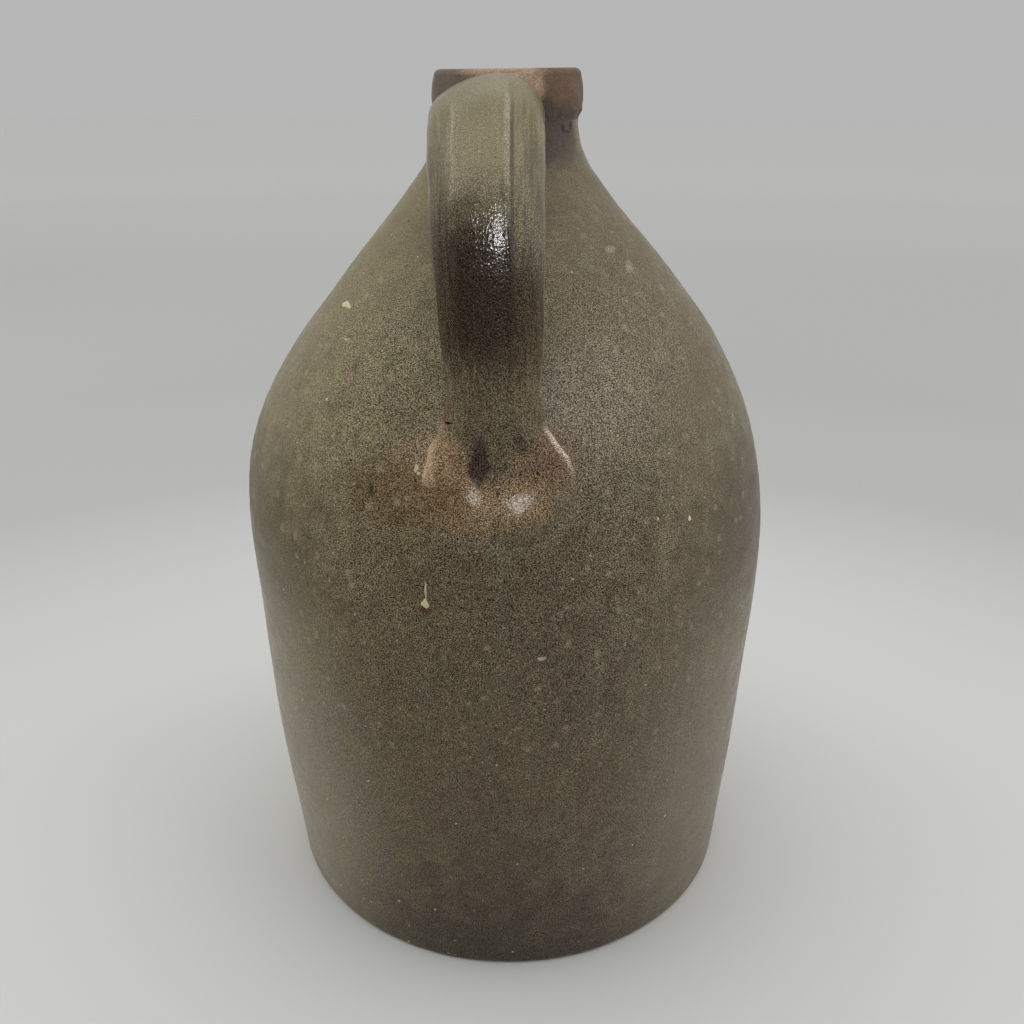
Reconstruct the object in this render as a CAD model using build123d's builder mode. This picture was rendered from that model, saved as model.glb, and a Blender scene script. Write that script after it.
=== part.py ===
"""Salt-glazed stoneware jug of about three gallons, in millimetres.

The jug stands on the XY plane with its axis on Z. The handle is on the -Y side.
The pieces are the ones a potter makes and lutes together: a thrown lower section with its floor,
a thrown shoulder that caps it, a lip ring thrown onto the neck, a pulled strap handle, the wad of
clay that beds the handle's lower end, and the slip that lines the inside.
"""

import os
from math import acos, asin, atan2, cos, pi, radians, sin, sqrt, tan

from build123d import *

# Overall form
height = 394.0  # floor to the top of the rim
foot_radius = 115.5  # outside of the wall at the floor
body_radius = 126.25  # greatest radius, at the seam between the two thrown sections
seam_height = 190.0  # where the shoulder section is luted on
shoulder_arc_share = 0.8505  # of the shoulder's rise, radius of the curve that turns the wall in
neck_radius = 30.75  # outside of the neck, just under the lip
neck_arc_share = 0.1902  # of the same rise, radius of the hollow curve from the cone into the neck
foot_round = 3.0  # worn edge round the foot

# Clay and slip
wall = 9.0  # thrown wall
floor = 12.0  # thickness of the bottom
floor_round = 18.0  # inside corner between floor and wall
throat_arc_share = 0.163  # of the same rise, inside curve from the cone into the mouth
slip = 0.5  # fired thickness of the lining slip

# Lip ring
lip_height = 20.0
lip_radius = 32.75  # greatest radius of the ring
lip_top_radius = 31.5  # before the top edge is rounded
lip_foot_radius = 31.9  # at the top of the undercut
undercut = 2.5  # height of the slope from the neck out to the ring
mouth_radius = 18.0  # clear bore for a cork
rim_round = 3.0  # outer and inner edges of the rim

# Strap handle
strap_width = 42.0
strap_crown = 16.0  # thickness over the middle, above the line of the two edges
strap_belly = 2.0  # how far the underside swells below that line
strap_edge_round = 2.5  # along the two edges
groove_share = 0.43  # of the half width, where the two finger grooves run
groove_depth = 0.9  # of the grooves along the strap
lobe_share = 0.78  # of the half width, on the lobes beside the grooves
press_depth = 2.4  # of the same grooves where fingers press the lower end home
crest_drop = 1.5  # top of the handle below the rim
bend_radius = 58.0  # of the strap's line at the top
strap_lean = 12.0  # degrees off upright, on the way down
root_set_over = 8.4  # how far the root of the strap is set over to the left
tip_set_over = 2.2  # how far its tip is set over to the right
landing_share = 0.5  # of the shoulder's rise, where the strap starts to turn along it
landing_gap = 6.0  # between the strap's line and the shoulder at that height
tongue_share = 0.25  # of the shoulder's rise, where the tip of the strap is
tongue_sink = 1.5  # how far the strap's line lies under the surface of the shoulder

# Wad round the lower end of the strap
wad_ball = 44.0  # radius of the ball that the wad is a cap of
wad_height = 5.5  # over the shoulder, at the middle
wad_share = 0.272  # of the shoulder's rise, where its middle is

lip_seam = height - lip_height
shoulder_rise = lip_seam - seam_height
shoulder_arc = shoulder_arc_share * shoulder_rise
neck_arc = neck_arc_share * shoulder_rise
throat_arc = throat_arc_share * shoulder_rise
shoulder_middle = body_radius - shoulder_arc  # radius at which the shoulder's curve is centred


def half_profile(inset, neck, sweep, bottom, corner):
    """Face from the axis out to a surface of the body, from the bottom up to the lip's seam.

    inset is the depth below the outside, neck the radius at the top, sweep the radius of the curve
    into it, bottom the height of the lower end and corner the rounding there.
    """
    shoulder_centre = Vector(shoulder_middle, seam_height)
    neck_centre = Vector(neck + sweep, lip_seam)
    apart = neck_centre - shoulder_centre
    turn = atan2(apart.Y, apart.X) - acos((shoulder_arc - inset + sweep) / apart.length)
    square = Vector(cos(turn), sin(turn))  # at right angles to the straight cone between the curves
    cone_foot = shoulder_centre + square * (shoulder_arc - inset)
    cone_top = neck_centre - square * sweep
    belly = (body_radius - inset, seam_height)
    foot = (foot_radius - inset, bottom)
    with BuildSketch(Plane.XZ) as profile:
        with BuildLine():
            TangentArc(belly, foot, tangent=(0, -1))
            Polyline(foot, (0, bottom), (0, lip_seam), (neck, lip_seam))
            TangentArc((neck, lip_seam), cone_top, tangent=(0, -1))
            Line(cone_top, cone_foot)
            TangentArc(belly, cone_foot, tangent=(0, 1))
        make_face()
        fillet(profile.vertices().group_by(Axis.Y)[0].sort_by(Axis.X)[-1], radius=corner)
    return profile.sketch


outside = half_profile(0, neck_radius, neck_arc, 0, foot_round)
clay_inside = half_profile(wall, mouth_radius + slip, throat_arc, floor, floor_round)
slip_inside = half_profile(wall + slip, mouth_radius, throat_arc + slip, floor + slip, floor_round - slip)

# Lower section: floor and wall, thrown in one
with BuildPart() as lower_body:
    with BuildSketch(Plane.XZ):
        add(outside)
        add(clay_inside, mode=Mode.SUBTRACT)
        with Locations((0, seam_height)):
            Rectangle(body_radius, seam_height, align=(Align.MIN, Align.MAX), mode=Mode.INTERSECT)
    revolve(axis=Axis.Z)
lower_body.part.label = "lower_body"

# Shoulder section: the cap that closes in to the neck
with BuildPart() as shoulder:
    with BuildSketch(Plane.XZ):
        add(outside)
        add(clay_inside, mode=Mode.SUBTRACT)
        with Locations((0, seam_height)):
            Rectangle(
                body_radius, lip_seam - seam_height, align=(Align.MIN, Align.MIN), mode=Mode.INTERSECT
            )
    revolve(axis=Axis.Z)
shoulder.part.label = "shoulder"

# Lining: a coat of slip over the whole inside, up to the lip ring
with BuildPart() as slip_lining:
    with BuildSketch(Plane.XZ):
        add(clay_inside)
        add(slip_inside, mode=Mode.SUBTRACT)
    revolve(axis=Axis.Z)
slip_lining.part.label = "slip_lining"

# Lip ring: a thick band with a slight swell, seated on the flat top of the neck
with BuildPart() as lip_ring:
    with BuildSketch(Plane.XZ) as lip_profile:
        with BuildLine():
            Polyline(
                (lip_top_radius, height),
                (mouth_radius, height),
                (mouth_radius, lip_seam),
                (neck_radius, lip_seam),
                (lip_foot_radius, lip_seam + undercut),
            )
            ThreePointArc(
                (lip_foot_radius, lip_seam + undercut),
                (lip_radius, (lip_seam + undercut + height) / 2),
                (lip_top_radius, height),
            )
        make_face()
        fillet(lip_profile.vertices().group_by(Axis.Y)[-1], radius=rim_round)
    revolve(axis=Axis.Z)
lip_ring.part.label = "lip_ring"

# The filled outside of the body and lip, which the handle and the wad are cut to
with BuildPart() as filled_outside:
    with BuildSketch(Plane.XZ):
        add(outside)
        add(lip_profile.sketch)
        with Locations((0, lip_seam)):
            Rectangle(mouth_radius + rim_round, lip_height, align=(Align.MIN, Align.MIN))
    revolve(axis=Axis.Z)

# Line of the handle, drawn with +X pointing out from the jug's axis and +Y up
handle_plane = Plane(origin=(0, 0, 0), x_dir=(0, -1, 0), z_dir=(-1, 0, 0))


def shoulder_point(rise, sink):
    """Point under the shoulder's surface, square in by sink from the spot that is rise above the seam."""
    angle = asin(rise / shoulder_arc)
    reach = shoulder_arc - sink
    return Vector(shoulder_middle + reach * cos(angle), seam_height + reach * sin(angle))


landing = shoulder_point(landing_share * shoulder_rise, -landing_gap)
tongue_tip = shoulder_point(tongue_share * shoulder_rise, tongue_sink)
crest = height - crest_drop - strap_crown
lean = radians(strap_lean)
bend_corner = landing.X - (crest - landing.Y) * tan(lean)
bend_start = bend_corner - bend_radius * tan((pi / 2 - lean) / 2)

with BuildLine() as handle_line:
    Line((0, crest), (bend_start, crest))
    bend = JernArc((bend_start, crest), (1, 0), bend_radius, strap_lean - 90)
    Line(bend @ 1, landing)
    TangentArc(landing, tongue_tip, tangent=(sin(lean), -cos(lean)))
strap_line = handle_plane * handle_line.wire()


def strap_section(share, width, crown, groove, wrap):
    """Three-lobed section of the strap, at a share of its length and square to its line.

    groove is the depth of the two grooves, and wrap how far the section follows the round of the jug.
    """
    half = width / 2
    place = strap_line.position_at(share)
    aside = tip_set_over * share - root_set_over * (1 - share)
    bow = wrap / (2 * abs(place.Y)) if wrap else 0

    def surface(part):
        """Point on the outer face, at a part of the half width."""
        across = part * half
        return Vector(across, crown * sqrt(1 - part**2) - bow * (across + aside) ** 2)

    sink = Vector(0, groove)
    left_groove = surface(-groove_share) - sink
    right_groove = surface(groove_share) - sink
    underside = surface(0) - Vector(0, crown + strap_belly)
    plane = Plane(place + Vector(aside, 0, 0), x_dir=(1, 0, 0), z_dir=strap_line.tangent_at(share))
    with BuildSketch(plane) as section:
        with BuildLine():
            ThreePointArc(surface(-1), surface(-lobe_share), left_groove)
            ThreePointArc(left_groove, surface(0), right_groove)
            ThreePointArc(right_groove, surface(lobe_share), surface(1))
            ThreePointArc(surface(1), underside, surface(-1))
        make_face()
        edges = section.vertices().sort_by(Axis.X)
        fillet([edges[0], edges[-1]], radius=strap_edge_round * crown / strap_crown)
    return section.sketch


# Share of the line, width and crown as shares of the strap's own, depth of the grooves, and wrap
station_shares = (
    (0.00, 1.10, 0.80, groove_depth, 0.0),
    (0.08, 1.10, 0.94, groove_depth, 0.0),
    (0.17, 1.10, 1.00, groove_depth, 0.0),
    (0.26, 1.09, 1.00, groove_depth, 0.0),
    (0.35, 1.06, 0.99, groove_depth, 0.0),
    (0.45, 1.03, 0.96, groove_depth, 0.0),
    (0.56, 0.99, 0.92, groove_depth, 0.0),
    (0.68, 0.93, 0.86, groove_depth, 0.0),
    (0.79, 0.90, 0.80, press_depth / 2, 0.3),
    (0.86, 1.10, 0.74, press_depth, 0.8),
    (0.93, 1.40, 0.58, press_depth / 2, 1.0),
    (1.00, 1.38, 0.16, 0.0, 1.0),
)

with BuildPart() as strap_handle:
    for share, width_share, crown_share, groove, wrap in station_shares:
        width = strap_width * width_share
        crown = strap_crown * crown_share
        add(strap_section(share, width, crown, groove, wrap))
    loft()
    add(filled_outside.part, mode=Mode.SUBTRACT)
strap_handle.part.label = "strap_handle"

# Wad: a cap of a ball bedded on the shoulder, pressed round the tongue of the strap
wad_middle = handle_plane.from_local_coords(shoulder_point(wad_share * shoulder_rise, wad_ball - wad_height))
with BuildPart() as handle_foot_wad:
    with Locations(wad_middle + Vector(tip_set_over, 0, 0)):
        Sphere(wad_ball)
    add(filled_outside.part, mode=Mode.SUBTRACT)
    add(strap_handle.part, mode=Mode.SUBTRACT)
handle_foot_wad.part.label = "handle_foot_wad"

os.makedirs("parts", exist_ok=True)
export_step(lower_body.part, "parts/lower_body.step")
export_step(shoulder.part, "parts/shoulder.step")
export_step(slip_lining.part, "parts/slip_lining.step")
export_step(lip_ring.part, "parts/lip_ring.step")
export_step(strap_handle.part, "parts/strap_handle.step")
export_step(handle_foot_wad.part, "parts/handle_foot_wad.step")
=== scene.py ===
import math

import bpy
import numpy as np
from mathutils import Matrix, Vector
from mathutils.bvhtree import BVHTree


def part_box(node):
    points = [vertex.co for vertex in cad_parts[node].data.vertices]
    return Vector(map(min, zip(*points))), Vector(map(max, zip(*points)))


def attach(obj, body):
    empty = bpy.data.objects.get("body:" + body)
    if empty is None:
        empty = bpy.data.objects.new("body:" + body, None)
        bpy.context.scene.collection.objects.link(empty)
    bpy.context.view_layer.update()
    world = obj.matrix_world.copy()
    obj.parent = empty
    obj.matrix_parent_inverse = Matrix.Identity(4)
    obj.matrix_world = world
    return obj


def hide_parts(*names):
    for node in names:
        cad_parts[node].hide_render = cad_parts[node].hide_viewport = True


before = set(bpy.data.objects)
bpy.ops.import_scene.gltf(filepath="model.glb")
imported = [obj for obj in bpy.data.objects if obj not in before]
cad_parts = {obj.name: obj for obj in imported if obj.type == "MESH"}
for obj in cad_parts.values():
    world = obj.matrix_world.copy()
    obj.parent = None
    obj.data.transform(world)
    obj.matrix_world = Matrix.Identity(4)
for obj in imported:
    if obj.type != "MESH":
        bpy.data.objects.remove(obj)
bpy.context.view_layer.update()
mm = 0.001  # sizes below are in millimetres, the scene is in metres
print("frame loaded:", sorted(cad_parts))


# node helpers

class Wire:
    # a value on its way through a node tree: a sum written with wires makes the nodes for it

    def __init__(self, tree, socket):
        self.tree = tree
        self.socket = socket

    def __add__(self, other):
        return calc("ADD", self, other)

    def __sub__(self, other):
        return calc("SUBTRACT", self, other)

    def __mul__(self, other):
        return calc("MULTIPLY", self, other)

    def __truediv__(self, other):
        return calc("DIVIDE", self, other)

    def __abs__(self):
        return calc("ABSOLUTE", self)


def plug(value, socket):
    # a wire is linked, a plain value is set
    if isinstance(value, Wire):
        value.tree.links.new(value.socket, socket)
    else:
        socket.default_value = (*value, 1) if socket.type == "RGBA" else value


def addNode(tree, kind, inputs=None, out=0, **settings):
    # gives back one output of the new node, or a list where out names several
    node = tree.nodes.new(kind)
    for key, value in settings.items():
        setattr(node, key, value)
    for key, value in (inputs or {}).items():
        plug(value, node.inputs[key])
    if isinstance(out, tuple):
        return [Wire(tree, node.outputs[key]) for key in out]
    return Wire(tree, node.outputs[out])


def calc(operation, *values):
    tree = next(value.tree for value in values if isinstance(value, Wire))
    return addNode(tree, "ShaderNodeMath", dict(enumerate(values)), operation=operation)


def vectorCalc(operation, *values, out=0):
    inputs = dict(enumerate(values))
    return addNode(values[0].tree, "ShaderNodeVectorMath", inputs, out, operation=operation)


def scaled(vector, factor):
    return addNode(vector.tree, "ShaderNodeVectorMath", {0: vector, "Scale": factor}, operation="SCALE")


def combine(x, y, z):
    return addNode(x.tree, "ShaderNodeCombineXYZ", {0: x, 1: y, 2: z})


def separate(vector):
    return addNode(vector.tree, "ShaderNodeSeparateXYZ", {0: vector}, (0, 1, 2))


def remap(value, low, high, toLow=0.0, toHigh=1.0, ramp="SMOOTHSTEP"):
    inputs = dict(enumerate((value, low, high, toLow, toHigh)))
    return addNode(value.tree, "ShaderNodeMapRange", inputs, interpolation_type=ramp)


def newTree(name, **inputs):
    # a tree with the named inputs of each kind, and wires from them
    tree = bpy.data.node_groups.new(name, "GeometryNodeTree")
    for kind, sockets in inputs.items():
        for socket in sockets:
            tree.interface.new_socket(socket, in_out="INPUT", socket_type="NodeSocket" + kind)
    tree.interface.new_socket("Piece", in_out="OUTPUT", socket_type="NodeSocketGeometry")
    given = tree.nodes.new("NodeGroupInput").outputs
    return tree, {socket.name: Wire(tree, socket) for socket in given}


def endTree(tree, geometry, material):
    real = addNode(tree, "GeometryNodeRealizeInstances", {0: geometry})
    dressed = addNode(tree, "GeometryNodeSetMaterial", {"Geometry": real, "Material": material})
    addNode(tree, "NodeGroupOutput", {"Piece": dressed}, ())
    return tree


def runTree(obj, tree, values):
    # set by identifier, evaluate once, keep the plain mesh
    modifier = obj.modifiers.new(tree.name, "NODES")
    modifier.node_group = tree
    names = {item.name: item.identifier for item in tree.interface.items_tree if item.in_out == "INPUT"}
    for name, value in values.items():
        modifier[names[name]] = value
    bpy.context.view_layer.update()
    graph = bpy.context.evaluated_depsgraph_get()
    mesh = bpy.data.meshes.new_from_object(obj.evaluated_get(graph))
    obj.modifiers.remove(modifier)
    old = obj.data
    mesh.name = obj.name
    obj.data = mesh
    bpy.data.meshes.remove(old)
    return obj


# mesh helpers

def addObject(name, data):
    obj = bpy.data.objects.new(name, data)
    bpy.context.scene.collection.objects.link(obj)
    return obj


def newObject(name, points, faces, edges=()):
    mesh = bpy.data.meshes.new(name)
    mesh.from_pydata(points, edges, faces)
    mesh.update()
    return addObject(name, mesh)


def setField(obj, name, values):
    made = obj.data.attributes.new(name, "FLOAT", "POINT")
    made.data.foreach_set("value", np.ascontiguousarray(values, np.float32).ravel())


def facingOut(obj):
    mesh = obj.data
    mesh.calc_loop_triangles()
    points = np.array([v.co for v in mesh.vertices])
    corners = points[np.array([t.vertices for t in mesh.loop_triangles])]
    volume = np.einsum("ij,ij->i", corners[:, 0], np.cross(corners[:, 1], corners[:, 2])).sum() / 6
    if volume < 0:
        mesh.flip_normals()
    return obj


def sharpen(obj, degrees):
    obj.data.set_sharp_from_angle(angle=math.radians(degrees))
    return obj


def dress(obj, material, degrees):
    obj.data.polygons.foreach_set("use_smooth", [True] * len(obj.data.polygons))
    obj.data.materials.append(material)
    return sharpen(facingOut(obj), degrees)


def ringFaces(rows, around):
    first = np.arange(rows - 1)[:, None] * around
    j = np.arange(around)[None, :]
    k = (j + 1) % around
    quads = np.stack([first + j, first + k, first + around + k, first + around + j], axis=-1)
    return quads.reshape(-1, 4).tolist()


def lumpFaces(rows, around):
    # closed lump: its tip, rings round it, and the middle of its back
    last = rows * around + 1
    faces = [[corner + 1 for corner in face] for face in ringFaces(rows, around)]
    for j in range(around):
        k = (j + 1) % around
        faces.append([0, k + 1, j + 1])
        faces.append([last, last - around + j, last - around + k])
    return faces


def endFaces(offset, columns, around):
    # strip between the upper and the lower edge of one section, with a triangle at each end
    strip = [(i, i + 1, around - i - 1, (around - i) % around) for i in range(columns - 1)]
    return [[offset + corner for corner in dict.fromkeys(corners)] for corners in strip]


# form of the jug, from the frame and the same sizes that the solids have

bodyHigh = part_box("lower_body")[1]
lipLow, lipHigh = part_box("lip_ring")
jug = {
    "bodyRadius": bodyHigh.x / mm,
    "seamHeight": bodyHigh.z / mm,
    "lipSeam": lipLow.z / mm,
    "rimHeight": lipHigh.z / mm,
    "footRadius": 115.5,
    "shoulderArc": 156.5,
    "neckRadius": 30.75,
    "neckArc": 35.0,
    "footRound": 3.0,
    "wall": 9.0,
    "floor": 12.0,
    "floorRound": 18.0,
    "throatArc": 30.0,
    "slip": 0.5,
    "mouthRadius": 18.0,
}
seamHeight = jug["seamHeight"]
shoulderArc = jug["shoulderArc"]
shoulderMiddle = jug["bodyRadius"] - shoulderArc


def gaps(points):
    return np.linalg.norm(np.diff(points, axis=0), axis=1)


def arcPoints(centre, radius, start, end, step):
    count = max(3, int(abs(math.radians(end - start)) * radius / step) + 1)
    angles = np.radians(np.linspace(start, end, count))
    return np.column_stack([centre[0] + radius * np.cos(angles), centre[1] + radius * np.sin(angles)])


def linePoints(start, end, step):
    count = max(2, int(math.dist(start, end) / step) + 1)
    return np.linspace(start, end, count)


def joinLines(*lines):
    points = np.vstack(lines)
    keep = np.ones(len(points), bool)
    keep[1:] = gaps(points) > 1e-4
    return points[keep]


def lowerWall(inset, bottom, corner, step):
    # from the middle of the bottom out to the corner, round it and up to the seam
    lean = jug["bodyRadius"] - jug["footRadius"]
    arc = (lean**2 + (seamHeight - bottom) ** 2) / (2 * lean)
    middle = jug["bodyRadius"] - inset - arc
    # circle of the corner touches the bottom and the inside of the wall's arc
    cornerUp = bottom + corner
    cornerOut = middle + math.sqrt((arc - corner) ** 2 - (seamHeight - cornerUp) ** 2)
    touch = math.degrees(math.atan2(cornerUp - seamHeight, cornerOut - middle))
    return joinLines(
        linePoints((0, bottom), (cornerOut, bottom), 6 * step),
        arcPoints((cornerOut, cornerUp), corner, -90, touch, step / 3),
        arcPoints((middle, seamHeight), arc, touch, 0, step),
    )


def upperWall(inset, neck, sweep, step):
    # from the seam over the shoulder and up the cone to the lip's seam
    reach = shoulderArc - inset
    apart = (neck + sweep - shoulderMiddle, jug["lipSeam"] - seamHeight)
    turn = math.atan2(apart[1], apart[0]) - math.acos((reach + sweep) / math.hypot(*apart))
    degrees = math.degrees(turn)
    shoulder = arcPoints((shoulderMiddle, seamHeight), reach, 0, degrees, step)
    throat = arcPoints((neck + sweep, jug["lipSeam"]), sweep, 180 + degrees, 180, step)
    return joinLines(shoulder, linePoints(shoulder[-1], throat[0], step), throat)


def innerWall(coat, stepLow, stepHigh):
    # inside of the clay, or of a coat on it, below the seam and above it
    wall = jug["wall"] + coat
    low = lowerWall(wall, jug["floor"] + coat, jug["floorRound"] - coat, stepLow)
    mouth = jug["mouthRadius"] + jug["slip"] - coat
    return low, upperWall(wall, mouth, jug["throatArc"] + coat, stepHigh)


def shoulderSurface(x, down, rise, lift):
    # a spot x to the side and down the slope from a height over the seam, lifted square off the surface
    angle = math.asin(rise / shoulderArc) - down / shoulderArc
    reach = shoulderArc + lift
    radius = shoulderMiddle + reach * np.cos(angle)
    turn = x / (shoulderMiddle + shoulderArc * np.cos(angle))
    height = seamHeight + reach * np.sin(angle)
    return np.stack([radius * np.sin(turn), -radius * np.cos(turn), height], axis=-1)


# wheel-thrown pieces: a profile is turned about the axis and made as uneven as a hand leaves it

throwing = {
    "columns": 420,
    "unevenness": 0.45,  # how far the wall strays from true
    "lumpSize": 55.0,
    "ringDepth": 0.11,  # finger ridges left by the throwing
    "ringPitch": 8.5,
    "ragSize": 5.0,  # ragged edge of an undercut
    "ragDepth": 0.0,
    "rimSlant": 0.0,
    "seed": 4.0,
    "stepOutside": 1.5,
    "stepInside": 6.0,
    "sharpAngle": 40,
    # the wall strays a little on the way up: height, shift to the right, swell
    "wander": (
        (0, 0.5, 0.5), (13, 0.4, 0.3), (36, 0.0, -0.1), (66, -0.35, -0.05), (96, -0.7, -0.2),
        (124, -0.65, -0.45), (154, -0.15, -0.25), (186, -0.75, 0.1), (211, -1.6, 0.05), (229, -2.1, 0.2),
        (250, -1.65, 0.0), (272, -0.7, -0.5), (293, 0.4, 0.05), (315, 0.4, 0.45), (340, -0.3, -0.4),
        (353, -0.35, 0.2), (374, -0.1, 0.0), (394, -0.1, 0.0),
    ),
}


def wheelTree():
    sizes = ("Unevenness", "Lump Size", "Ring Depth", "Ring Pitch", "Rag Size", "Rag Depth")
    tree, given = newTree(
        "throwOnWheel", Geometry=["Profile"], Int=["Columns"], Float=(*sizes, "Rim Slant", "Seed"),
        Material=["Material"],
    )

    def whole(operation, first, second):
        return addNode(tree, "FunctionNodeIntegerMath", {0: first, 1: second}, operation=operation)

    def sampled(kind, value):
        # what the profile has at the point of this row
        inputs = {"Geometry": given["Profile"], "Value": value, "Index": row}
        return addNode(tree, "GeometryNodeSampleIndex", inputs, data_type=kind, domain="POINT")

    def named(name):
        stored = addNode(tree, "GeometryNodeInputNamedAttribute", {"Name": name}, data_type="FLOAT")
        return sampled("FLOAT", stored)

    def noise(size, detail):
        inputs = {"Vector": true, "W": given["Seed"], "Scale": calc("DIVIDE", 1.0, size), "Detail": detail}
        return addNode(tree, "ShaderNodeTexNoise", inputs, noise_dimensions="4D") - 0.5

    rows = addNode(tree, "GeometryNodeAttributeDomainSize", {0: given["Profile"]}, "Point Count")
    columns = whole("ADD", given["Columns"], 1)
    grid = addNode(tree, "GeometryNodeMeshGrid", {"Vertices X": columns, "Vertices Y": rows})
    index = addNode(tree, "GeometryNodeInputIndex")
    row = whole("MODULO", index, rows)
    angle = whole("DIVIDE_FLOOR", index, rows) / given["Columns"] * math.tau
    radius, sway, rise = separate(sampled("FLOAT_VECTOR", addNode(tree, "GeometryNodeInputPosition")))
    showing = named("showing")
    cosine = calc("COSINE", angle)
    sine = calc("SINE", angle)
    true = combine(radius * cosine, radius * sine, rise)
    lumps = noise(given["Lump Size"], 1.0)
    turns = rise / given["Ring Pitch"] + angle / math.tau + lumps * 1.5
    ring = calc("SINE", turns * math.tau) * (lumps + 0.5)
    push = (lumps * (given["Unevenness"] * 2.0) + ring * given["Ring Depth"]) * showing
    rag = noise(given["Rag Size"], 2.0) * (named("ragged") * given["Rag Depth"])
    pushed = radius + (push + rag)
    across = pushed * cosine
    slant = across * (given["Rim Slant"] * showing)
    moved = combine(across + sway, pushed * sine, rise + (slant + rag))
    turned = addNode(tree, "GeometryNodeSetPosition", {"Geometry": grid, "Position": moved})
    inputs = {"Geometry": turned, "Name": "showing", "Value": showing}
    kept = addNode(tree, "GeometryNodeStoreNamedAttribute", inputs, data_type="FLOAT", domain="POINT")
    closed = addNode(tree, "GeometryNodeMergeByDistance", {"Geometry": kept, "Distance": 1e-6})
    smooth = addNode(tree, "GeometryNodeSetShadeSmooth", {"Geometry": closed})
    return endTree(tree, smooth, given["Material"])


def smoothTable(table, at):
    # smooth curve through the rows, first column is where
    rows = np.array(table, float)
    slopes = np.gradient(rows[:, 1:], rows[:, 0], axis=0)
    slot = np.clip(np.searchsorted(rows[:, 0], at, "right") - 1, 0, len(rows) - 2)
    span = (rows[slot + 1, 0] - rows[slot, 0])[:, None]
    t = ((at - rows[slot, 0]) / span[:, 0])[:, None]
    return (
        (2 * t**3 - 3 * t**2 + 1) * rows[slot, 1:]
        + (t**3 - 2 * t**2 + t) * span * slopes[slot]
        + (-2 * t**3 + 3 * t**2) * rows[slot + 1, 1:]
        + (t**3 - t**2) * span * slopes[slot + 1]
    )


wheel = wheelTree()


def thrownPiece(name, profile, showing, material, ragged=None, **changes):
    values = dict(throwing, **changes)
    shift, swell = smoothTable(values["wander"], profile[:, 1]).T
    points = np.column_stack([profile[:, 0] + swell * showing, shift, profile[:, 1]]) * mm
    obj = newObject(name, points, [], [(i, i + 1) for i in range(len(points) - 1)])
    setField(obj, "showing", showing)
    setField(obj, "ragged", np.zeros(len(points)) if ragged is None else ragged)
    runTree(obj, wheel, {
        "Columns": values["columns"],
        "Unevenness": values["unevenness"] * mm,
        "Lump Size": values["lumpSize"] * mm,
        "Ring Depth": values["ringDepth"] * mm,
        "Ring Pitch": values["ringPitch"] * mm,
        "Rag Size": values["ragSize"] * mm,
        "Rag Depth": values["ragDepth"] * mm,
        "Rim Slant": values["rimSlant"],
        "Seed": values["seed"],
        "Material": material,
    })
    return sharpen(facingOut(obj), values["sharpAngle"])


# glazes: places and sizes in millimetres on the object

def newGlaze(name):
    # a material, and the spot on the object
    material = bpy.data.materials.new(name)
    material.use_nodes = True
    place = addNode(material.node_tree, "ShaderNodeTexCoord", out="Object")
    return material, scaled(place, 1 / mm)


def attribute(tree, name):
    return addNode(tree, "ShaderNodeAttribute", out="Fac", attribute_name=name)


def noiseOf(spot, size, detail=2.0, rough=0.5, seed=0.0):
    if seed:
        spot = vectorCalc("ADD", spot, (37.0 * seed, 11.0 * seed, 5.0))
    inputs = {"Vector": spot, "Scale": 1 / size, "Detail": detail, "Roughness": rough}
    return addNode(spot.tree, "ShaderNodeTexNoise", inputs)


def cells(spot, size):
    # round cells: distance from the middle of each as a share of its size, and a random colour
    inputs = {"Vector": spot, "Scale": 1 / size}
    return addNode(spot.tree, "ShaderNodeTexVoronoi", inputs, ("Distance", "Color"))


def drawnOut(spot, share):
    # a pattern on this spot runs down the jug
    return addNode(spot.tree, "ShaderNodeMapping", {"Vector": spot, "Scale": (1.0, 1.0, share)})


def mixColour(factor, first, second):
    return addNode(factor.tree, "ShaderNodeMix", {0: factor, 6: first, 7: second}, 2, data_type="RGBA")


def over(colour, mask, paint, amount=1.0):
    return mixColour(mask if amount == 1.0 else mask * amount, colour, paint)


def blotch(spot, centre, reach, stray=None, soft=0.4):
    # 1 inside an oval spot, 0 outside, with an edge that strays
    away = vectorCalc("DIVIDE", vectorCalc("SUBTRACT", spot, centre), reach)
    length = vectorCalc("LENGTH", away, out="Value")
    return remap(length if stray is None else length + stray, 1 + soft, 1 - soft)


def band(value, centre, reach):
    # 1 along a line of one value, 0 beyond its reach
    return remap(abs(value - centre), reach, 0.2 * reach)


def window(value, opens, opened, closes, closed):
    return remap(value, opens, opened) * remap(value, closed, closes)


def peel(spot, size):
    # pebbled skin of a salt glaze: its speckle, 0 to 1, and its height
    grain = noiseOf(spot, size, 1.0, 0.6)
    pebbles = cells(spot, size / 0.75)[0]
    return remap(grain, 0.48, 0.60), grain * 1.2 - pebbles * 0.5


glazeSkin = {
    "darkSpeck": (1.06, 0.97, 0.74),  # its dark specks are the browner ones
    "paleSpeck": (0.99, 1.0, 1.05),
    "patchSize": 14.0,  # of rougher and smoother skin
    "gloss": 0.5,
}


def speckled(tone, speck, contrast):
    # lighter and darker than the tone by a share of it
    factor = calc("MAXIMUM", (speck * 1.7 - 0.52) * contrast + 1.0, 0.1)
    warmth = mixColour(speck, glazeSkin["darkSpeck"], glazeSkin["paleSpeck"])
    return vectorCalc("MULTIPLY", scaled(tone, factor), warmth)


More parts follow.
